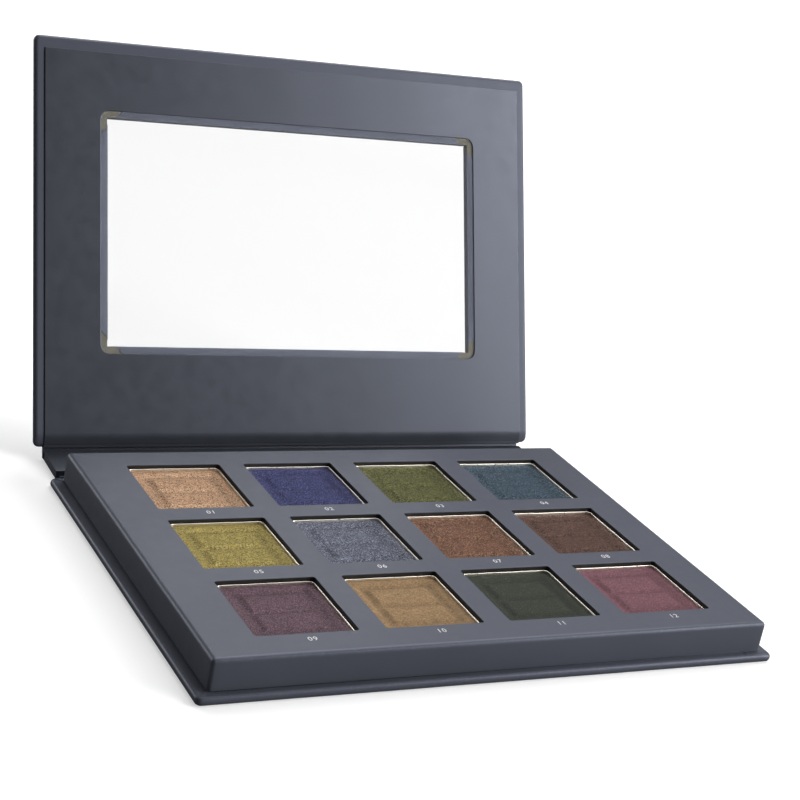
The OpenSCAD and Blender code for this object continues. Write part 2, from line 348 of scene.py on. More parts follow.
def round_edge(low, high, bend, wear=1.0, steps=4):
    """Profile from a flat underside, round an edge of that height, to the flat upper side."""
    arc = [(bend * (1 - math.sin(turn)), bend * (1 - math.cos(turn)), wear * math.sin(2 * turn))
           for turn in (math.pi / 2 * step / steps for step in range(steps + 1))]
    lower = [(inset, low + rise, rubbed) for inset, rise, rubbed in arc]
    upper = [(inset, high - rise, rubbed) for inset, rise, rubbed in reversed(arc)]
    return [(bend + SUPPORT, low, 0.0)] + lower + upper + [(bend + SUPPORT, high, 0.0)]


# Parts of that profile: below its wall, above its wall, and from the foot of the wall up
LOWER_BEND = slice(0, 6)
UPPER_BEND = slice(6, 12)
WALL_AND_UPPER_BEND = slice(5, 12)


def score(bm, axis, low, high, step):
    """Cuts a mesh by evenly spaced planes across one axis, so that it can bend between them."""
    normal = Vector((0, 0, 0))
    normal[axis] = 1
    for cut in range(1, round((high - low) / step)):
        bmesh.ops.bisect_plane(bm, geom=bm.verts[:] + bm.edges[:] + bm.faces[:], dist=1e-7,
                               plane_co=normal * (low + cut * step), plane_no=normal)


# Without a seed of its own the vector noise starts from the clock, and no two runs are alike
noise.seed_set(WARP_SEED)


def warp(bm, amount, size, seed, still_axis=None):
    """Moves a mesh by smooth noise, as paper and board are never quite flat."""
    for vert in bm.verts:
        push = noise.noise_vector(vert.co / size + Vector((seed, seed * 0.7, 3.1))) * amount
        if still_axis is not None:
            push[still_axis] = 0
        vert.co += push


def make_piece(name, bm, material, place=None):
    """Turns a bmesh into an object whose place is in its mesh."""
    bmesh.ops.remove_doubles(bm, verts=bm.verts, dist=1e-6)
    bmesh.ops.recalc_face_normals(bm, faces=bm.faces)
    if place is not None:
        bmesh.ops.transform(bm, matrix=place, verts=bm.verts)
    mesh = bpy.data.meshes.new(name)
    bm.to_mesh(mesh)
    bm.free()
    mesh.shade_smooth()
    mesh.set_sharp_from_angle(angle=SMOOTH_TO)
    mesh.materials.append(material)
    made = bpy.data.objects.new(name, mesh)
    scene.collection.objects.link(made)
    return made


def stand_for(piece, body, slot, *nodes):
    """The piece rides on a body and stands for CAD nodes, which it hides. Its slot is not used."""
    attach(piece, body)
    if nodes:
        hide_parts(*nodes)


MITRE_PLY = 0.11 * mm
MITRE_SHORT = 0.2 * mm


def add_mitres(bm, box, top):
    """At each corner the last turn-in lies over the one before, cut off on the diagonal."""
    for right in (False, True):
        for back in (False, True):
            corner_x, along = (box[2], -1) if right else (box[0], 1)
            corner_y, inward = (box[3], -1) if back else (box[1], 1)
            near, far = COVER_BEND + SUPPORT, TURN_IN - MITRE_SHORT
            ply = bm.faces.new([bm.verts.new((corner_x + along * x, corner_y + inward * y, top))
                                for x, y in ((near, near), (far, near), (far, far))])
            pull_face(bm, ply, (0, 0, MITRE_PLY))


board_low, board_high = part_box("base_board")
cover_box = (board_low.x - PAPER, board_low.y - PAPER, board_high.x + PAPER, board_high.y + PAPER)


def shrink(box, by):
    """A rectangle drawn in on all four sides."""
    return (box[0] + by, box[1] + by, box[2] - by, box[3] - by)


def wrap_profile(low, high, bend):
    """Closed wrap round a board: outer face, edge, turn-in, and back round the inside."""
    inner = [(inset + PAPER, height, 0.0) for inset, height, _ in
             round_edge(low + PAPER, high - PAPER, bend - PAPER)]
    return (round_edge(low, high, bend) + [(TURN_IN, high, 0.0), (TURN_IN, high - PAPER, 0.0)]
            + inner[::-1])


cover_skin = bmesh.new()
cover_loops = loops_of(cover_skin, cover_box, COVER_CORNER, wrap_profile(0, COVER, COVER_BEND))
solid(cover_skin, cover_loops)
score(cover_skin, 0, cover_box[0], cover_box[2], COVER_STEP)
score(cover_skin, 1, cover_box[1], cover_box[3], COVER_STEP)
add_mitres(cover_skin, cover_box, COVER - HAIR)
warp(cover_skin, 0.05 * mm, 22 * mm, 1.3)
# Keeps the warped underside from dipping through the table
bmesh.ops.translate(cover_skin, vec=(0, 0, COVER_LIFT), verts=cover_skin.verts)
base_wrap = make_piece("base_cover_wrap", cover_skin, slate_paper)
stand_for(base_wrap, "base", "slate_paper", "base_wrap")

CORE_INSET = PAPER * 1.4
cover_core = bmesh.new()
core_loops = loops_of(cover_core, shrink(cover_box, CORE_INSET), COVER_CORNER - PAPER,
                      round_edge(CORE_INSET, COVER - CORE_INSET, COVER_BEND, wear=0.0))
solid(cover_core, core_loops)
base_core = make_piece("base_cover_board", cover_core, greyboard)
stand_for(base_core, "base", "greyboard", "base_board")

# The lining sheet stops a little short of the cover's edges and fills the space between the
# turn-ins, so its underside has a step.
liner_paper, liner_tree, liner_shader = new_material("slate_liner", {
    "Specular IOR Level": 0.85, "Specular Tint": (0.76, 0.81, 1, 1)})
finish_with(liner_tree, liner_shader, paper_group,
            {"Colour": (0.034, 0.038, 0.045, 1), "Wear": 0.1, "Gloss": 0.36}, height=0.2)
LINER_EDGE = 0.12 * mm
LINER_SHORT = 2.3 * mm
tray_low, tray_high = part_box("tray_wrap")
lining_box = (tray_low.x + LINER, cover_box[1] + LINER_SHORT, tray_high.x - LINER,
              cover_box[3] - COVER_BEND)
lining = bmesh.new()
step_in = TURN_IN - LINER_SHORT + 1 * mm
lining_loops = loops_of(lining, lining_box, 0.3 * mm, [
    (step_in, COVER - PAPER, 0.0), (step_in, COVER, 0.0), (0, COVER, 0.0)
    ] + round_edge(COVER, COVER + LINER, LINER_EDGE)[WALL_AND_UPPER_BEND])
solid(lining, lining_loops)
base_liner = make_piece("base_lining", lining, liner_paper)
stand_for(base_liner, "base", "slate_liner", "base_liner")

# --- Tray ---
# A shallow box of greyboard walls and a black window card, wrapped in the same slate paper.
# The windows are punched through paper and card. The card is coloured near black, and so are the
# window walls.
TRAY_CORNER = 1.0 * mm
TRAY_BEND = 1.15 * mm
FOOT_BEND = 0.3 * mm
WINDOW_CORNER = 0.75 * mm
LIP = 0.12 * mm
TRAY_STEP = 3 * mm
PAN_CLEARANCE = 0.4 * mm
pan_places = {}
for number in range(1, 13):
    low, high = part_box(f"pan_{number:02d}")
    pan_places[number] = ((low.x + high.x) / 2, (low.y + high.y) / 2)
pan_low, pan_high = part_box("pan_01")
window_side = pan_high.x - pan_low.x + PAN_CLEARANCE


def window_boxes(side):
    """The twelve square windows, each centred over its pan."""
    return [(x - side / 2, y - side / 2, x + side / 2, y + side / 2)
            for x, y in pan_places.values()]


def fill_between(bm, outer, holes):
    """A flat face inside an outline, with holes left open."""
    bmesh.ops.triangle_fill(bm, use_beauty=True, use_dissolve=False,
                            edges=outer + [edge for hole in holes for edge in hole])


tray_box = (tray_low.x, tray_low.y, tray_high.x, tray_high.y)
tray_foot = tray_low.z
tray_top = tray_high.z
under = round_edge(tray_foot, tray_top, FOOT_BEND)[LOWER_BEND]
over = round_edge(tray_foot, tray_top, TRAY_BEND)[UPPER_BEND]
inner_face = tray_top - PAPER
tray_skin = bmesh.new()
tray_loops = loops_of(tray_skin, tray_box, TRAY_CORNER,
                      [(TURN_IN, tray_foot, 0.0)] + under + over)
inside_loops = loops_of(tray_skin, tray_box, TRAY_CORNER, [
    (TURN_IN, tray_foot + PAPER, 0.0), (FOOT_BEND, tray_foot + PAPER, 0.0),
    (PAPER, tray_foot + FOOT_BEND, 0.0), (PAPER, tray_top - TRAY_BEND, 0.0),
    (TRAY_BEND / 2, tray_top - TRAY_BEND / 2.6, 0.0), (TRAY_BEND, inner_face, 0.0)])
skin(tray_skin, tray_loops)
skin(tray_skin, inside_loops)
skin(tray_skin, [tray_loops[0], inside_loops[0]])
top_holes, inner_holes = [], []
for window_box in window_boxes(window_side):
    lip_loops = loops_of(tray_skin, window_box, WINDOW_CORNER, [
        (-LIP - SUPPORT, tray_top, 0.0), (-LIP, tray_top, 0.6),
        (-LIP * 0.4, tray_top - LIP * 0.15, 0.6), (0, tray_top - LIP * 0.8, 0.4),
        (0, inner_face - HAIR, 0.0)])
    skin(tray_skin, lip_loops)
    top_holes.append(lip_loops[0])
    inner_holes.append(lip_loops[-1])
fill_between(tray_skin, tray_loops[-1], top_holes)
fill_between(tray_skin, inside_loops[-1], inner_holes)
score(tray_skin, 0, tray_low.x, tray_high.x, TRAY_STEP)
score(tray_skin, 1, tray_low.y, tray_high.y, TRAY_STEP)
warp(tray_skin, 0.06 * mm, 14 * mm, 5.2, still_axis=2)
tray_wrap = make_piece("tray_wrap_paper", tray_skin, slate_paper)
stand_for(tray_wrap, "base", "slate_paper", "tray_wrap")

# Black window card, under the tray's top paper
card_group, card_in, card_out = new_group(
    "layered_card",
    [("Colour", "Color", (0.008, 0.007, 0.006, 1)), ("Layer", "Color", (0.035, 0.03, 0.022, 1))],
    [("Colour", "Color"), ("Roughness", "Float"), ("Height", "Float")])
card_place = put(card_group, "ShaderNodeTexCoord").outputs["Object"]
along_layers = put(card_group, "ShaderNodeMapping", {"Vector": card_place,
                   "Scale": (0.25, 0.25, 3)}).outputs[0]
layers = put(card_group, "ShaderNodeTexNoise", {"Vector": along_layers, "Scale": 1500,
             "Detail": 4}).outputs["Fac"]
card_group.links.new(blend_colours(card_group, remap(card_group, layers, 0.45, 0.75),
                                   card_in.outputs["Colour"], card_in.outputs["Layer"]),
                     card_out.inputs["Colour"])
card_group.links.new(remap(card_group, layers, 0.3, 0.7, 0.55, 0.8), card_out.inputs["Roughness"])
card_group.links.new(layers, card_out.inputs["Height"])
black_card, card_tree, card_shader = new_material("black_card", {"Specular IOR Level": 0.4})
finish_with(card_tree, card_shader, card_group, {}, height=0.7, grain=0.00004)

card_low, card_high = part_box("window_card")
card_sheet = bmesh.new()
card_box = shrink((card_low.x, card_low.y, card_high.x, card_high.y), TRAY_BEND * 0.7)
card_top = card_high.z - HAIR
card_rim = loops_of(card_sheet, card_box, TRAY_CORNER, [(0, card_low.z, 0.0), (0, card_top, 0.0)])
skin(card_sheet, card_rim)
card_holes = [loops_of(card_sheet, window_box, WINDOW_CORNER, [
    (-0.1 * mm, card_low.z, 0.0), (-0.02 * mm, card_low.z + 0.1 * mm, 0.0),
    (0.03 * mm, (card_low.z + card_top) / 2, 0.0), (-0.01 * mm, card_top, 0.0)])
    for window_box in window_boxes(window_side)]
for hole in card_holes:
    skin(card_sheet, hole)
fill_between(card_sheet, card_rim[0], [hole[0] for hole in card_holes])
fill_between(card_sheet, card_rim[1], [hole[-1] for hole in card_holes])
window_card = make_piece("window_card_black", card_sheet, black_card)
stand_for(window_card, "base", "black_card", "window_card")


def finish_node(node, material):
    """A CAD part that is shown as it is takes a finish."""
    frame["nodes"][node].data.materials.clear()
    frame["nodes"][node].data.materials.append(material)


finish_node("pan_nest", black_card)
finish_node("tray_floor", greyboard)
finish_node("tray_walls", greyboard)

# --- Pans ---
# Square pans pressed from thin tinplate, with a rolled rim. Loose powder clings to the rims.
TIN = 0.3 * mm
PAN_CORNER = 1.4 * mm
PAN_FOOT = 0.6 * mm
PAN_STEP = 2.2 * mm
tin_group, tin_in, tin_out = new_group(
    "dusty_tin", [("Dust", "Color", (0.3, 0.2, 0.15, 1)), ("Tin", "Color", (0.92, 0.87, 0.77, 1))],
    [("Colour", "Color"), ("Roughness", "Float"), ("Metallic", "Float")])
clinging = remap(tin_group, speckle(tin_group, 900, 4, 0.7), 0.60, 0.68)
tin_group.links.new(
    blend_colours(tin_group, clinging, tin_in.outputs["Tin"], tin_in.outputs["Dust"]),
    tin_out.inputs["Colour"])
tin_group.links.new(remap(tin_group, clinging, 0, 1, 0.30, 0.85), tin_out.inputs["Roughness"])
tin_group.links.new(remap(tin_group, clinging, 0, 1, 1, 0), tin_out.inputs["Metallic"])

# Each powder: its colour, the colour of its flakes, how many show, their size in millimetres,
# how far they tilt, and how much of the surface is satin rather than matt.
POWDERS = {
    1: ((0.335, 0.191, 0.106), (0.723, 0.531, 0.356), 0.35, 0.13, 0.35, 0.45),
    2: ((0.024, 0.027, 0.093), (0.143, 0.156, 0.383), 0.22, 0.16, 0.5, 0.45),
    3: ((0.052, 0.056, 0.015), (0.256, 0.245, 0.078), 0.40, 0.22, 0.6, 0.35),
    4: ((0.025, 0.043, 0.062), (0.148, 0.229, 0.295), 0.35, 0.20, 0.6, 0.35),
    5: ((0.239, 0.186, 0.045), (0.557, 0.470, 0.180), 0.25, 0.12, 0.3, 0.5),
    6: ((0.074, 0.079, 0.108), (0.387, 0.411, 0.516), 0.30, 0.19, 0.6, 0.35),
    7: ((0.114, 0.049, 0.026), (0.442, 0.257, 0.162), 0.33, 0.20, 0.5, 0.4),
    8: ((0.065, 0.031, 0.021), (0.258, 0.148, 0.114), 0.30, 0.16, 0.45, 0.4),
    9: ((0.096, 0.052, 0.067), (0.260, 0.180, 0.225), 0.18, 0.12, 0.3, 0.45),
    10: ((0.276, 0.173, 0.083), (0.417, 0.304, 0.166), 0.06, 0.12, 0.2, 0.1),
    11: ((0.025, 0.030, 0.019), (0.094, 0.103, 0.071), 0.08, 0.12, 0.2, 0.15),
    12: ((0.159, 0.065, 0.081), (0.335, 0.179, 0.212), 0.08, 0.12, 0.2, 0.15),
}


def add_pan(number):
    """A square pan with a rounded foot and a rolled rim, a little out of true."""
    low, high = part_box(f"pan_{number:02d}")
    rim = TIN / 2
    side = [(PAN_FOOT + SUPPORT, low.z)] + [
        (PAN_FOOT * (1 - math.sin(turn)), low.z + PAN_FOOT * (1 - math.cos(turn)))
        for turn in (math.pi / 8 * step for step in range(5))]
    roll = [(rim - rim * math.cos(turn), high.z - rim + rim * math.sin(turn))
            for turn in (math.pi / 8 * step for step in range(9))]
    inside = [(TIN, low.z + TIN + PAN_FOOT / 2), (TIN + PAN_FOOT / 2, low.z + TIN)]
    bowl = bmesh.new()
    loops = loops_of(bowl, (low.x, low.y, high.x, high.y), PAN_CORNER,
                     [(inset, height, 0.0) for inset, height in side + roll + inside])
    solid(bowl, loops)
    score(bowl, 0, low.x, high.x, PAN_STEP)
    score(bowl, 1, low.y, high.y, PAN_STEP)
    warp(bowl, 0.07 * mm, 5 * mm, number * 2.3)
    tin, tree, shader = new_material(f"tinplate_{number:02d}", {"IOR": 1.5})
    finish_with(tree, shader, tin_group, {"Dust": (*[c * 1.1 for c in POWDERS[number][0]], 1)})
    pan = make_piece(f"tin_pan_{number:02d}", bowl, tin)
    stand_for(pan, "base", "tinplate", f"pan_{number:02d}")


for number in pan_places:
    add_pan(number)

# --- Pressed powders ---
# Powder pressed into each pan by a patterned plate: a flat border round a sunk field with two
# broad bars and a groove between them. Pearl and glitter flakes lie in the coloured binder.
POWDER_GRID = 112
BORDER = 2.5 * mm
RELIEF = 0.5 * mm
BAR_W = 16 * mm
BAR_D = 7.2 * mm
GROOVE = 1.8 * mm
SLOPE = 1.7 * mm
CAKE_DROP = 0.05 * mm

powder_group, powder_in, powder_out = new_group(
    "pressed_powder",
    [("Colour", "Color", (0.3, 0.2, 0.2, 1)), ("Flake", "Color", (0.8, 0.7, 0.6, 1)),
     ("Share", "Float", 0.3), ("Cells", "Float", 6000), ("Tilt", "Float", 0.4),
     ("Satin", "Float", 0.3), ("Grain", "Float", 0.3)],
    [("Colour", "Color"), ("Roughness", "Float"), ("Metallic", "Float"), ("Normal", "Vector"),
     ("Height", "Float")])
powder_place = put(powder_group, "ShaderNodeTexCoord").outputs["Object"]
flake_cells = put(powder_group, "ShaderNodeTexVoronoi", {
    "Vector": powder_place, "Scale": powder_in.outputs["Cells"]}, feature="F1")
cell_draw = put(powder_group, "ShaderNodeSeparateColor", {0: flake_cells.outputs["Color"]})
edge_of_share = put(powder_group, "ShaderNodeMath", {0: 1.0, 1: powder_in.outputs["Share"]},
                    operation="SUBTRACT").outputs[0]
flake_here = put(powder_group, "ShaderNodeMath", {0: cell_draw.outputs[0], 1: edge_of_share},
                 operation="GREATER_THAN").outputs[0]
flake_light = multiply(powder_group, flake_here,
                       remap(powder_group, cell_draw.outputs[1], 0, 1, 0.15, 1.0))
mottle = remap(powder_group, speckle(powder_group, 420, 4, 0.6), 0.3, 0.7, 0.90, 1.10)
grains = speckle(powder_group, 2300, 4, 0.8)
grain_shade = put(powder_group, "ShaderNodeMath", {
    0: remap(powder_group, grains, 0.36, 0.64, -1, 1), 1: powder_in.outputs["Grain"], 2: 1.0},
    operation="MULTIPLY_ADD").outputs[0]
# Painted shade in the recesses: the sunk ground and the groove are darkened, and the border and the
# bars are lightened a touch
painted_recess_shade = remap(powder_group, put(powder_group, "ShaderNodeAttribute",
                attribute_name="recess_share").outputs["Fac"], 0, 1, 1.03, 0.85)
ground = blend_colours(powder_group, 1.0, powder_in.outputs["Colour"], shade_of(
    powder_group, multiply(powder_group, multiply(powder_group, mottle, grain_shade), painted_recess_shade)),
    "MULTIPLY")
powder_group.links.new(
    blend_colours(powder_group, multiply(powder_group, flake_light, 0.85), ground,
                  powder_in.outputs["Flake"]), powder_out.inputs["Colour"])
powder_group.links.new(remap(powder_group, flake_light, 0, 1, 0.78, 0.34),
                       powder_out.inputs["Roughness"])
pearl = put(powder_group, "ShaderNodeMath", {0: multiply(powder_group, flake_light, 0.6),
            1: multiply(powder_group, powder_in.outputs["Satin"], 0.5)}, operation="ADD",
            use_clamp=True)
powder_group.links.new(pearl.outputs[0], powder_out.inputs["Metallic"])
lean = put(powder_group, "ShaderNodeVectorMath", {0: flake_cells.outputs["Color"],
           1: (0.5, 0.5, 0.5)}, operation="SUBTRACT")
lean_by = put(powder_group, "ShaderNodeVectorMath", {
    0: lean.outputs[0], "Scale": multiply(powder_group, powder_in.outputs["Tilt"], flake_here)},
    operation="SCALE")
leant = put(powder_group, "ShaderNodeVectorMath", {
    0: put(powder_group, "ShaderNodeNewGeometry").outputs["Normal"], 1: lean_by.outputs[0]},
    operation="ADD")
powder_group.links.new(put(powder_group, "ShaderNodeVectorMath", {0: leant.outputs[0]},
                           operation="NORMALIZE").outputs[0], powder_out.inputs["Normal"])
powder_group.links.new(grains, powder_out.inputs["Height"])


def ease(value):
    """A smooth step from 0 to 1."""
    value = min(max(value, 0), 1)
    return value * value * (3 - 2 * value)


def raised(x, y, half_x, half_y, slope):
    """1 inside a rectangle and 0 outside it, with a sloped edge."""
    return ease(0.5 + (half_x - abs(x)) / slope) * ease(0.5 + (half_y - abs(y)) / slope)


def recess(x, y, half):
    """1 in the sunk ground and the groove, 0 on the border and the bars."""
    sunk = raised(x, y, half - BORDER, half - BORDER, SLOPE * 1.2)
    bars = raised(x, abs(y) - (BAR_D + GROOVE) / 2, BAR_W / 2, BAR_D / 2, SLOPE)
    return sunk * (1 - bars)


def crumbled(x, y, half):
    """How far the powder has broken down along the pan's rim."""
    return 0.10 * mm * ease(1 - min(half - abs(x), half - abs(y)) / (0.35 * mm))


def add_powder(number):
    """A pressed cake with its pattern, its grain and a crumbled rim."""
    colour, flake, share, size, tilt, satin = POWDERS[number]
    low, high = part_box(f"powder_{number:02d}")
    half = (high.x - low.x) / 2
    round_by = PAN_CORNER - TIN
    middle = Vector(((low.x + high.x) / 2, (low.y + high.y) / 2, 0))
    cake = bmesh.new()
    # Share of recess at each point: it sets how deep the powder sinks and the painted shade in the
    # recesses
    recess_share = cake.verts.layers.float.new("recess_share")
    bmesh.ops.create_grid(cake, x_segments=POWDER_GRID, y_segments=POWDER_GRID, size=half)
    for vert in cake.verts:
        x, y = vert.co.x, vert.co.y
        past_x, past_y = abs(x) - (half - round_by), abs(y) - (half - round_by)
        if past_x > 0 and past_y > 0:
            pull = max(past_x, past_y) / math.hypot(past_x, past_y)
            vert.co.x = math.copysign(half - round_by + past_x * pull, x)
            vert.co.y = math.copysign(half - round_by + past_y * pull, y)
        grain = noise.noise(Vector((x, y, number)) / (0.5 * mm)) * 0.018 * mm
        swell = noise.noise(Vector((x, y, number * 3)) / (7 * mm)) * 0.03 * mm
        vert[recess_share] = recess(x, y, half)
        sunk = RELIEF * vert[recess_share] + crumbled(x, y, half)
        vert.co.z = high.z - CAKE_DROP - sunk + grain + swell
    rim = [edge for edge in cake.edges if edge.is_boundary]
    walls = bmesh.ops.extrude_edge_only(cake, edges=rim)["geom"]
    lower = [item for item in walls if isinstance(item, bmesh.types.BMVert)]
    for vert in lower:
        vert.co.z = low.z
    cap(cake, [edge for edge in cake.edges if edge.is_boundary])
    bmesh.ops.translate(cake, vec=middle, verts=cake.verts)
    powder, tree, shader = new_material(f"powder_{number:02d}", {"Specular IOR Level": 0.35})
    finish_with(tree, shader, powder_group, {
        "Colour": (*colour, 1), "Flake": (*flake, 1), "Share": share, "Cells": 1 / (size * mm),
        "Tilt": tilt, "Satin": satin, "Grain": 0.25 + 2.6 * share}, height=0.5, grain=0.00005)
    piece = make_piece(f"pressed_powder_{number:02d}", cake, powder)
    stand_for(piece, "base", f"powder_{number:02d}", f"powder_{number:02d}")


for number in pan_places:
    add_powder(number)

# --- Shade numbers ---
# White numerals screen-printed on the tray's top, one under each window.
NUMERAL = 2.3 * mm
NUMERAL_GAP = 1.7 * mm
DIGIT_HEIGHT = NUMERAL * 0.7
white_ink, ink_tree, ink_shader = new_material("white_ink", {"Roughness": 0.5})
ink_tree.links.new(blend_colours(
    ink_tree, remap(ink_tree, speckle(ink_tree, 4000, 3), 0.35, 0.65), (0.62, 0.62, 0.64, 1),
    (0.86, 0.86, 0.88, 1)), ink_shader.inputs["Base Color"])
for number, (x, y) in pan_places.items():
    lettering = bpy.data.curves.new(f"numeral_curve_{number:02d}", "FONT")
    lettering.body = f"{number:02d}"
    lettering.size = NUMERAL
    lettering.space_character = 1.15
    lettering.align_x = "CENTER"
    lettering.extrude = 0.012 * mm
    lettering.resolution_u = 6
    written = bpy.data.objects.new("numeral_curve", lettering)
    scene.collection.objects.link(written)
    bpy.context.view_layer.update()
    printed = bpy.data.meshes.new_from_object(written)
    bpy.data.objects.remove(written)
    line = y - window_side / 2 - NUMERAL_GAP - DIGIT_HEIGHT
    printed.transform(Matrix.Translation((x, line, tray_top + 0.008 * mm)))
    printed.materials.append(white_ink)
    numeral = bpy.data.objects.new(f"numeral_{number:02d}", printed)
    scene.collection.objects.link(numeral)
    stand_for(numeral, "base", "slate_paper")

# --- Spine ---
# A narrow greyboard strip between the two folds. The same wrap and liner sheets that cover the
# lid and the base run over it, and the wrap is turned in at its two ends.
joints = {joint["name"]: joint for joint in frame["joints"]}
fold_a = Vector(joints["spine_fold"]["pos_m"])
fold_b = Vector(joints["lid_fold"]["pos_m"])
spine_tilt = math.radians(-joints["spine_fold"]["range_deg"][0])
lid_tilt = spine_tilt + math.radians(-joints["lid_fold"]["range_deg"][0])
FOLD_H = fold_a.z
FOLD_BARE = 0.4 * mm


def cover_frame(fold, tilt):
    """Place of a cover: X across, Y away from its fold line, Z from outer to inner face."""
    return (Matrix.Translation(fold) @ Matrix.Rotation(tilt, 4, "X")
            @ Matrix.Translation((0, 0, -FOLD_H)))


spine_place = cover_frame(fold_a, spine_tilt)
lid_place = cover_frame(fold_b, lid_tilt)
spine_d = (fold_b - fold_a).length
spine_board_box = (tray_low.x + PAPER, FOLD_BARE + LINER, tray_high.x - PAPER,
                   spine_d - FOLD_BARE - LINER)
spine_slab = bmesh.new()
slab_loops = loops_of(spine_slab, spine_board_box, 0.2 * mm,
                      round_edge(PAPER, COVER - PAPER, 0.12 * mm, wear=0.0))
solid(spine_slab, slab_loops)
spine_board = make_piece("spine_core", spine_slab, greyboard, spine_place)
stand_for(spine_board, "spine", "greyboard", "spine_board")

# The turned-in ends of the wrap
spine_ends = bmesh.new()
for end in (-1, 1):
    tip = end * tray_high.x
    turned = tip - end * TURN_IN
    end_loops = loops_of(spine_ends, (min(tip, turned), FOLD_BARE + LINER, max(tip, turned),
                                      spine_d - FOLD_BARE - LINER), 0.3 * mm,
                         round_edge(PAPER / 2, COVER, 0.3 * mm))
    solid(spine_ends, end_loops)
end_wrap = make_piece("spine_end_wraps", spine_ends, slate_paper, spine_place)
stand_for(end_wrap, "spine", "slate_paper", "spine_wrap")

# --- Paper hinges ---
# One sheet of wrap runs under the base cover, the spine and the lid, and one sheet of liner
# over them. Each is made here in two strips that meet in the middle of the spine.
HINGE_REACH = 0.55 * mm
HINGE_GAP = 3 * mm
HINGE_LAP = 0.5 * mm
CREASE_BEND = 0.14 * mm
PRESSED_FROM = 6.6 * mm
PRESSED_BY = 0.95 * mm


def press_hinge_edge(bm):
    """The hot bar that sets the hinge also flattens the edge of the lid beside it."""
    for vert in bm.verts:
        share = min(max((PRESSED_FROM - vert.co.y) / (PRESSED_FROM - HINGE_GAP), 0), 1)
        depth = share * share * (1.6 - 0.6 * share)
        if vert.co.y > HINGE_REACH:
            vert.co.z -= PRESSED_BY * depth * min(max(vert.co.z / (COVER + LINER), 0), 1)


def strip(name, points, width, bends, folds, place_before, material):
    """A sheet of that outline across the fold at y = 0, extruded to a width and then folded."""
    sheet = bmesh.new()
    sheet.faces.new([sheet.verts.new((-width / 2, y, z)) for y, z in points])
    sheet.verts.ensure_lookup_table()
    bmesh.ops.bevel(sheet, geom=[sheet.verts[index] for index in bends], offset=CREASE_BEND,
                    offset_type="OFFSET", affect="VERTICES", segments=4, profile=0.5, material=-1)
    pull_face(sheet, sheet.faces[:][0], (width, 0, 0))
    score(sheet, 1, -HINGE_REACH, HINGE_REACH, HINGE_REACH / 6)
    score(sheet, 0, -width / 2, width / 2, 5 * mm)
    if name.endswith("back"):
        press_hinge_edge(sheet)
    for vert in sheet.verts:
        share = ease((vert.co.y + HINGE_REACH) / (2 * HINGE_REACH))
        turn = (Matrix.Translation((0, 0, FOLD_H)) @ Matrix.Rotation(folds * share, 4, "X")
                @ Matrix.Translation((0, 0, -FOLD_H)))
        vert.co = place_before @ turn @ vert.co
    return make_piece(name, sheet, material)


def flat_sheet(start, end):
    """Wrap paper that lies flat across the fold."""
    return [(start, 0), (end, 0), (end, PAPER), (start, PAPER)]


def stepped_sheet(start, step, rise_to, end):
    """Liner that runs on top of a board, steps down at its edge, crosses the fold and climbs."""
    low, top = PAPER, COVER
    return [(start, top), (step, top), (step, low), (rise_to, low), (rise_to, top), (end, top),
            (end, top + LINER), (rise_to - LINER, top + LINER), (rise_to - LINER, low + LINER),
            (step + LINER, low + LINER), (step + LINER, top + LINER), (start, top + LINER)]


base_end = cover_box[3] - fold_a.y
half_spine = spine_d / 2
base_place = Matrix.Translation((0, fold_a.y, 0))
# The spine's own frame with its fold at the lid's side brought to y = 0
spine_far = spine_place @ Matrix.Translation((0, spine_d, 0))
climb = FOLD_BARE + LINER
wrap_w = tray_high.x - tray_low.x
liner_w = wrap_w + 0.4 * mm
LINER_BENDS = [1, 2, 3, 4, 7, 8, 9, 10]
FOLD_REACH = Vector((0, HINGE_REACH, 0))
turn_spine = Matrix.Rotation(spine_tilt, 3, "X")
turn_lid = Matrix.Rotation(lid_tilt, 3, "X")
hinges = (
    ("front", base_place, spine_tilt, ("base", "spine"), fold_a, FOLD_REACH,
     turn_spine @ FOLD_REACH, base_end - HINGE_LAP, half_spine, base_end, climb),
    ("back", spine_far, lid_tilt - spine_tilt, ("spine", "lid"), fold_b, turn_spine @ FOLD_REACH,
     turn_lid @ FOLD_REACH, -half_spine, HINGE_GAP + HINGE_LAP, -climb, HINGE_GAP))
for side, place, angle, bodies, fold, before, after, start, end, step, rise_to in hinges:
    wrap = strip(f"hinge_wrap_{side}", flat_sheet(start, end), wrap_w, [], angle, place,
                 slate_paper)
    liner_start = start - (0.2 * mm if side == "front" else 0)
    liner = strip(f"hinge_liner_{side}", stepped_sheet(liner_start, step, rise_to, end), liner_w,
                  LINER_BENDS, angle, place, liner_paper)
    for hinge_strip, slot_name in ((wrap, "slate_paper"), (liner, "slate_liner")):
        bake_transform(hinge_strip)
    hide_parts("spine_wrap")
    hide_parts("spine_liner")

# --- Lid ---
# A board frame round a large window, wrapped in slate paper. The paper is slit from the
# window's middle to its corners and folded through it in four flaps, so bare board shows at
# the corners. The film lies over the flaps, and the inset liner holds its edges.


def own_box(node, place):
    """The box of a CAD node in a cover's own frame."""
    spots = [place.inverted() @ vert.co for vert in frame["nodes"][node].data.vertices]
    return [Vector([pick(spot[axis] for spot in spots) for axis in range(3)])
            for pick in (min, max)]


lid_low, lid_high = own_box("lid_board", lid_place)
lid_box = (lid_low.x - PAPER, lid_low.y - PAPER, lid_high.x + PAPER, lid_high.y + PAPER)
film_low, film_high = own_box("window_film", lid_place)
FILM_LAP = 5 * mm
view_box = (film_low.x + FILM_LAP, film_low.y + FILM_LAP, film_high.x - FILM_LAP,
            film_high.y - FILM_LAP)
FLAP_BEND = 0.32 * mm
FRAME_INSET = PAPER * 1.2
CHAMFER = 0.08 * mm
FINE_STEP = 0.4 * mm


def press_and_score(bm, low):
    """Cuts the strip beside the hinge finely enough to bend, and presses it down."""
    score(bm, 1, low, PRESSED_FROM + 0.5 * mm, FINE_STEP)
    press_hinge_edge(bm)


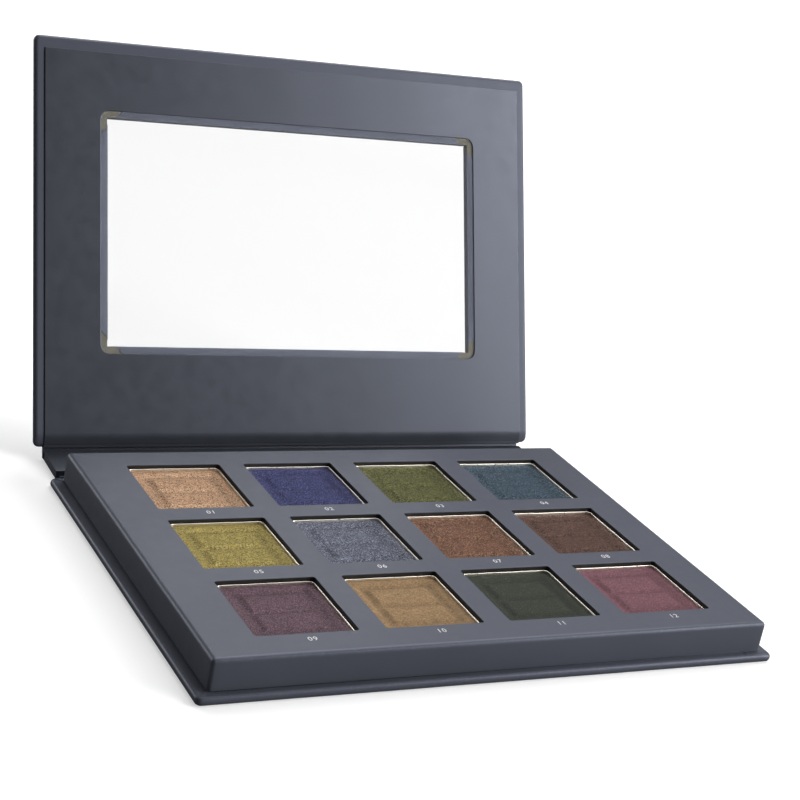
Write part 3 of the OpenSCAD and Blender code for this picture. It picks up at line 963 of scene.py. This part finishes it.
lid_core = bmesh.new()
frame_profile = round_edge(FRAME_INSET, COVER - FRAME_INSET, COVER_BEND, wear=0.0)
frame_loops = loops_of(lid_core, shrink(lid_box, FRAME_INSET), COVER_CORNER - PAPER, frame_profile)
hole_loops = loops_of(lid_core, shrink(view_box, -PAPER * 1.1), SHARP_CORNER, [
    (-CHAMFER, COVER - FRAME_INSET, 0.0), (0, COVER - FRAME_INSET - CHAMFER, 0.0),
    (0, FRAME_INSET + CHAMFER, 0.0), (-CHAMFER, FRAME_INSET, 0.0)])
skin(lid_core, frame_loops + hole_loops, close=True)
press_and_score(lid_core, lid_box[1])
lid_board = make_piece("lid_board_frame", lid_core, greyboard, lid_place)
stand_for(lid_board, "lid", "greyboard", "lid_board")

lid_skin = bmesh.new()
wrap_loops = loops_of(lid_skin, lid_box, COVER_CORNER, wrap_profile(0, COVER, COVER_BEND))
opening = loops_of(lid_skin, view_box, SHARP_CORNER, [
    (-FLAP_BEND, PAPER, 0.0), (-FLAP_BEND, 0, 0.0), (-FLAP_BEND - SUPPORT, 0, 0.0)])
skin(lid_skin, wrap_loops + opening, close=True)
score(lid_skin, 0, lid_box[0], lid_box[2], COVER_STEP)
score(lid_skin, 1, lid_box[1], lid_box[3], COVER_STEP)
press_and_score(lid_skin, lid_box[1])


def add_flap(bm, length, place):
    """One flap along X: it comes round the outer edge, through the window and onto the board."""
    points = [(FLAP_BEND, 0), (0, 0), (0, COVER), (TURN_IN, COVER), (TURN_IN, COVER - PAPER),
              (PAPER, COVER - PAPER), (PAPER, PAPER), (FLAP_BEND, PAPER)]
    flap = bmesh.new()
    flap.faces.new([flap.verts.new((-length / 2, depth, height)) for depth, height in points])
    flap.verts.ensure_lookup_table()
    outer = [flap.verts[1], flap.verts[2]]
    inner = [flap.verts[5], flap.verts[6]]
    for corners, bend in ((outer, FLAP_BEND * 0.98), (inner, FLAP_BEND - PAPER)):
        bmesh.ops.bevel(flap, geom=corners, offset=bend, offset_type="OFFSET", affect="VERTICES",
                        segments=5, profile=0.5, material=-1)
    pull_face(flap, flap.faces[:][0], (length, 0, 0))
    for vert in flap.verts:
        folded_back = vert.co.z + (vert.co.y if vert.co.z > COVER / 2 else 0)
        vert.co.x -= math.copysign(folded_back, vert.co.x)
    score(flap, 0, -length / 2, length / 2, 3 * mm)
    warp(flap, 0.035 * mm, 6 * mm, length * 40, still_axis=2)
    bmesh.ops.transform(flap, matrix=place, verts=flap.verts)
    joined = bpy.data.meshes.new("flap")
    flap.to_mesh(joined)
    flap.free()
    bm.from_mesh(joined)
    bpy.data.meshes.remove(joined)


view_w, view_d = view_box[2] - view_box[0], view_box[3] - view_box[1]
view_middle = Vector(((view_box[0] + view_box[2]) / 2, (view_box[1] + view_box[3]) / 2, 0))
for quarter, (length, away) in enumerate(((view_w, view_d), (view_d, view_w)) * 2):
    add_flap(lid_skin, length, Matrix.Translation(view_middle)
             @ Matrix.Rotation(quarter * math.pi / 2, 4, "Z") @ Matrix.Translation((0, away / 2, 0)))
lid_wrap = make_piece("lid_cover_wrap", lid_skin, slate_paper, lid_place)
stand_for(lid_wrap, "lid", "slate_paper", "lid_wrap")

# Liner: one die-cut sheet with a round-cornered cut-out that clears the window
LINER_MARGIN = 2.1 * mm
LINER_CORNER = 2.6 * mm
_, liner_high = own_box("lid_liner", lid_place)
liner_box = (-liner_w / 2, HINGE_GAP + HINGE_LAP, liner_w / 2, liner_high.y)
film_gap = COVER + PAPER + 0.02 * mm
cut_out = shrink(view_box, -LINER_MARGIN)
lid_lining = bmesh.new()
outer_edge = loops_of(lid_lining, liner_box, 0.4 * mm,
                      round_edge(COVER, COVER + LINER, LINER_EDGE)[WALL_AND_UPPER_BEND])
inner_edge = loops_of(lid_lining, cut_out, LINER_CORNER, [
    (-LINER_EDGE - SUPPORT, COVER + LINER, 0.0), (-LINER_EDGE, COVER + LINER, 0.7),
    (-0.03 * mm, COVER + LINER - 0.04 * mm, 0.7), (0, film_gap, 0.0)])
under_edge = loops_of(lid_lining, shrink(view_box, -FILM_LAP - 0.3 * mm), 0.5 * mm, [
    (0, film_gap, 0.0), (0, COVER, 0.0)])
skin(lid_lining, outer_edge + inner_edge + under_edge, close=True)
score(lid_lining, 0, liner_box[0], liner_box[2], TRAY_STEP)
score(lid_lining, 1, liner_box[1], liner_box[3], TRAY_STEP)
press_and_score(lid_lining, liner_box[1])
# The thin card ripples gently from side to side
for vert in lid_lining.verts:
    ripple = noise.noise(Vector((vert.co.x / (16 * mm), vert.co.y / (60 * mm), 8.4)))
    vert.co.z += 0.05 * mm * ripple
lid_liner = make_piece("lid_lining", lid_lining, liner_paper, lid_place)
stand_for(lid_liner, "lid", "slate_liner", "lid_liner")

# Film: clear plastic sheet, faintly smeared
smear_group, smear_in, smear_out = new_group(
    "film_smears", [("Clean", "Float", 0.02), ("Smeared", "Float", 0.12)],
    [("Roughness", "Float"), ("Height", "Float")])
film_place = put(smear_group, "ShaderNodeTexCoord").outputs["Object"]
drawn_down = put(smear_group, "ShaderNodeMapping", {"Vector": film_place,
                 "Scale": (1, 0.12, 0.12)})
streaks = put(smear_group, "ShaderNodeTexNoise", {"Vector": drawn_down.outputs[0], "Scale": 160,
              "Detail": 4}).outputs["Fac"]
smear_share = remap(smear_group, streaks, 0.5, 0.8)
smeared = put(smear_group, "ShaderNodeMix", {
    0: smear_share, 2: smear_in.outputs["Clean"], 3: smear_in.outputs["Smeared"]})
smear_group.links.new(smeared.outputs[0], smear_out.inputs["Roughness"])
smear_group.links.new(streaks, smear_out.inputs["Height"])
clear_film, film_tree, film_shader = new_material("clear_film", {
    "Base Color": (0.79, 0.79, 0.79, 1), "Transmission Weight": 1.0, "IOR": 1.5})
finish_with(film_tree, film_shader, smear_group, {}, height=0.05, grain=0.00003)
lamp_rays = put(film_tree, "ShaderNodeLightPath").outputs["Is Shadow Ray"]
see_through = put(film_tree, "ShaderNodeBsdfTransparent", {0: (0.94, 0.94, 0.94, 1)})
lets_light_by = put(film_tree, "ShaderNodeMixShader", {
    0: lamp_rays, 1: film_shader.outputs["BSDF"], 2: see_through.outputs[0]})
film_tree.links.new(lets_light_by.outputs[0], film_tree.nodes["Material Output"].inputs["Surface"])
film_sheet = bmesh.new()
film_loops = loops_of(film_sheet, (film_low.x, film_low.y, film_high.x, film_high.y), 0.5 * mm,
                      [(0, film_low.z, 0.0), (0, film_high.z, 0.0)])
solid(film_sheet, film_loops)
film = make_piece("lid_window_film", film_sheet, clear_film, lid_place)
stand_for(film, "lid", "clear_film", "window_film")

# --- Closing magnets and adhesive pads ---
# Disc magnets of plated steel sunk in the lid's board and the tray's front edge, and the dots
# of adhesive under the pans. Paper and pans hide all of them.
magnet_steel, magnet_tree, magnet_shader = new_material("magnet_steel", {"Metallic": 1.0})
magnet_tree.links.new(remap(magnet_tree, speckle(magnet_tree, 3000, 3), 0.3, 0.7, 0.25, 0.45),
                      magnet_shader.inputs["Roughness"])
magnet_shader.inputs["Base Color"].default_value = (0.6, 0.6, 0.62, 1)
adhesive, adhesive_tree, adhesive_shader = new_material("adhesive_pad", {"Roughness": 0.6})
adhesive_tree.links.new(blend_colours(
    adhesive_tree, speckle(adhesive_tree, 1500, 3), (0.75, 0.72, 0.62, 1), (0.88, 0.86, 0.78, 1)),
    adhesive_shader.inputs["Base Color"])
for hidden_node, finish in (("lid_magnets", magnet_steel), ("tray_magnets", magnet_steel),
                            ("pan_adhesive_pads", adhesive)):
    finish_node(hidden_node, finish)
